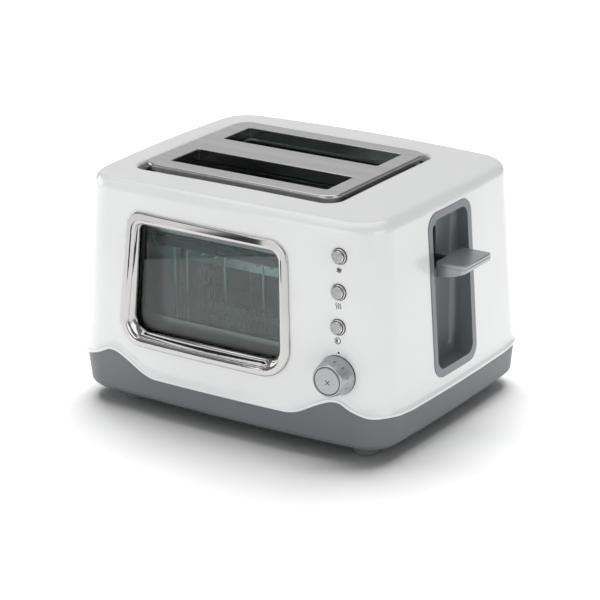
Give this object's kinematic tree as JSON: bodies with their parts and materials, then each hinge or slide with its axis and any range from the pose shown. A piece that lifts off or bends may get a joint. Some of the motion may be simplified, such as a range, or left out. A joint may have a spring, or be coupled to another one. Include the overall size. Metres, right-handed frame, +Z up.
{
  "type": "toaster",
  "caption": "Two-slot pop-up toaster with a chrome-framed viewing window, side lever, browning dial with cancel button, push buttons and a crumb tray.",
  "frame": {"origin": "middle of the toaster's box, on the surface that the feet stand on", "axes": "+X towards the lever end, +Y from the window to the back, +Z up"},
  "size_m": [0.3028, 0.2442, 0.1879],
  "materials": {
    "white_shell": "glossy white, smooth moulded",
    "grey_base": "mid grey, fine satin moulded",
    "chrome_trim": "mirror chrome plate",
    "chrome_buttons": "spun metal face",
    "steel_plate": "polished steel with a fine grain",
    "sheet_steel": "bare rolled sheet",
    "reflector": "bright aluminised sheet",
    "window_glass": "clear tempered glass, slight green tint",
    "quartz": "milky quartz",
    "heating_wire": "coiled resistance wire",
    "ceramic": "unglazed white ceramic",
    "silver_plastic": "silver lacquer, fine metallic flake",
    "black_plastic": "black moulded",
    "rubber": "dark grey rubber",
    "steel_wire": "bright drawn wire",
    "machined_steel": "zinc-plated steel",
    "spring_steel": "drawn spring wire",
    "copper": "enamelled copper winding",
    "brass": "contact brass",
    "circuit_board": "green board laminate"
  },
  "bodies": {
    "root": {"housing_shell": "white_shell", "base_shell": "grey_base", "lever_recess": "grey_base", "window_bezel": "chrome_trim", "button_rings": "chrome_trim", "top_plate": "steel_plate", "chassis_top_frame": "sheet_steel", "chassis_floor_frame": "sheet_steel", "chassis_front_frame": "sheet_steel", "left_end_plate": "sheet_steel", "right_end_plate": "sheet_steel", "carriage_bracket": "sheet_steel", "rear_reflector": "reflector", "centre_reflector": "reflector", "front_upper_reflector": "reflector", "front_lower_reflector": "reflector", "outer_window_glass": "window_glass", "inner_window_glass": "window_glass", "front_quartz_tubes": "quartz", "centre_quartz_tubes": "quartz", "rear_quartz_tubes": "quartz", "heater_filaments": "heating_wire", "heater_end_caps": "ceramic", "glass_retainer": "black_plastic", "panel_switches": "black_plastic", "browning_potentiometer": "black_plastic", "terminal_block": "black_plastic", "cord_inlet": "black_plastic", "foot_front_left": "rubber", "foot_rear_left": "rubber", "foot_front_right": "rubber", "foot_rear_right": "rubber", "guide_rods": "machined_steel", "electromagnet_core": "machined_steel", "base_screws": "machined_steel", "chassis_screws": "machined_steel", "electromagnet_coil": "copper", "mains_contacts": "brass", "control_board": "circuit_board", "power_board": "circuit_board"},
    "carriage": {"lever_knob": "silver_plastic", "lever_stem": "black_plastic", "carriage_slider": "machined_steel", "bread_lifter_front": "steel_wire", "bread_lifter_rear": "steel_wire", "armature_plate": "machined_steel", "contact_pusher": "black_plastic", "carriage_springs": "spring_steel"},
    "dial": {"browning_dial": "silver_plastic"},
    "cancel": {"cancel_button": "silver_plastic"},
    "defrost": {"defrost_button": "chrome_buttons"},
    "reheat": {"reheat_button": "chrome_buttons"},
    "bagel": {"bagel_button": "chrome_buttons"},
    "tray": {"crumb_tray": "sheet_steel", "crumb_tray_handle": "black_plastic"},
    "bread_guard_front_outer": {"bread_guard_front_outer": "steel_wire"},
    "bread_guard_front_inner": {"bread_guard_front_inner": "steel_wire"},
    "bread_guard_rear_inner": {"bread_guard_rear_inner": "steel_wire"},
    "bread_guard_rear_outer": {"bread_guard_rear_outer": "steel_wire"}
  },
  "joints": [
    {"name": "lever_slide", "type": "slide", "parent": "root", "child": "carriage", "axis": [0, 0, 1], "range_m": [-0.065, 0.018], "stiffness_N_per_m": 150, "springref_m": 0.00926, "deforming": ["carriage_springs"]},
    {"name": "bread_guard_front_outer_tilt", "type": "hinge", "parent": "root", "child": "bread_guard_front_outer", "pos_m": [-0.00704, -0.04891, 0.042], "axis": [1, 0, 0], "range_deg": [-4.1, 1.2]},
    {"name": "bread_guard_front_inner_tilt", "type": "hinge", "parent": "root", "child": "bread_guard_front_inner", "pos_m": [-0.00704, -0.01391, 0.042], "axis": [1, 0, 0], "range_deg": [-1.2, 4.1]},
    {"name": "bread_guard_rear_inner_tilt", "type": "hinge", "parent": "root", "child": "bread_guard_rear_inner", "pos_m": [-0.00704, 0.02169, 0.042], "axis": [1, 0, 0], "range_deg": [-4.1, 1.2]},
    {"name": "bread_guard_rear_outer_tilt", "type": "hinge", "parent": "root", "child": "bread_guard_rear_outer", "pos_m": [-0.00704, 0.05669, 0.042], "axis": [1, 0, 0], "range_deg": [-1.2, 4.1]},
    {"name": "dial_turn", "type": "hinge", "parent": "root", "child": "dial", "pos_m": [0.09546, -0.10578, 0.0685], "axis": [0.0587, -0.9977, 0.0349], "range_deg": [-100, 135]},
    {"name": "cancel_press", "type": "slide", "parent": "root", "child": "cancel", "axis": [-0.0587, 0.9977, -0.0349], "range_m": [0, 0.002], "stiffness_N_per_m": 300, "springref_m": -0.002},
    {"name": "defrost_press", "type": "slide", "parent": "root", "child": "defrost", "axis": [-0.0587, 0.9977, -0.0349], "range_m": [0, 0.002], "stiffness_N_per_m": 300, "springref_m": -0.002},
    {"name": "reheat_press", "type": "slide", "parent": "root", "child": "reheat", "axis": [-0.0587, 0.9977, -0.0349], "range_m": [0, 0.002], "stiffness_N_per_m": 300, "springref_m": -0.002},
    {"name": "bagel_press", "type": "slide", "parent": "root", "child": "bagel", "axis": [-0.0587, 0.9977, -0.0349], "range_m": [0, 0.002], "stiffness_N_per_m": 300, "springref_m": -0.002},
    {"name": "tray_slide", "type": "slide", "parent": "root", "child": "tray", "axis": [0, 1, 0], "range_m": [0, 0.15]}
  ],
  "couplings": [
    {"joint": "bread_guard_front_outer_tilt", "follows": "lever_slide", "rad_per_m": 1.074},
    {"joint": "bread_guard_front_inner_tilt", "follows": "lever_slide", "rad_per_m": -1.074},
    {"joint": "bread_guard_rear_inner_tilt", "follows": "lever_slide", "rad_per_m": 1.074},
    {"joint": "bread_guard_rear_outer_tilt", "follows": "lever_slide", "rad_per_m": -1.074}
  ]
}
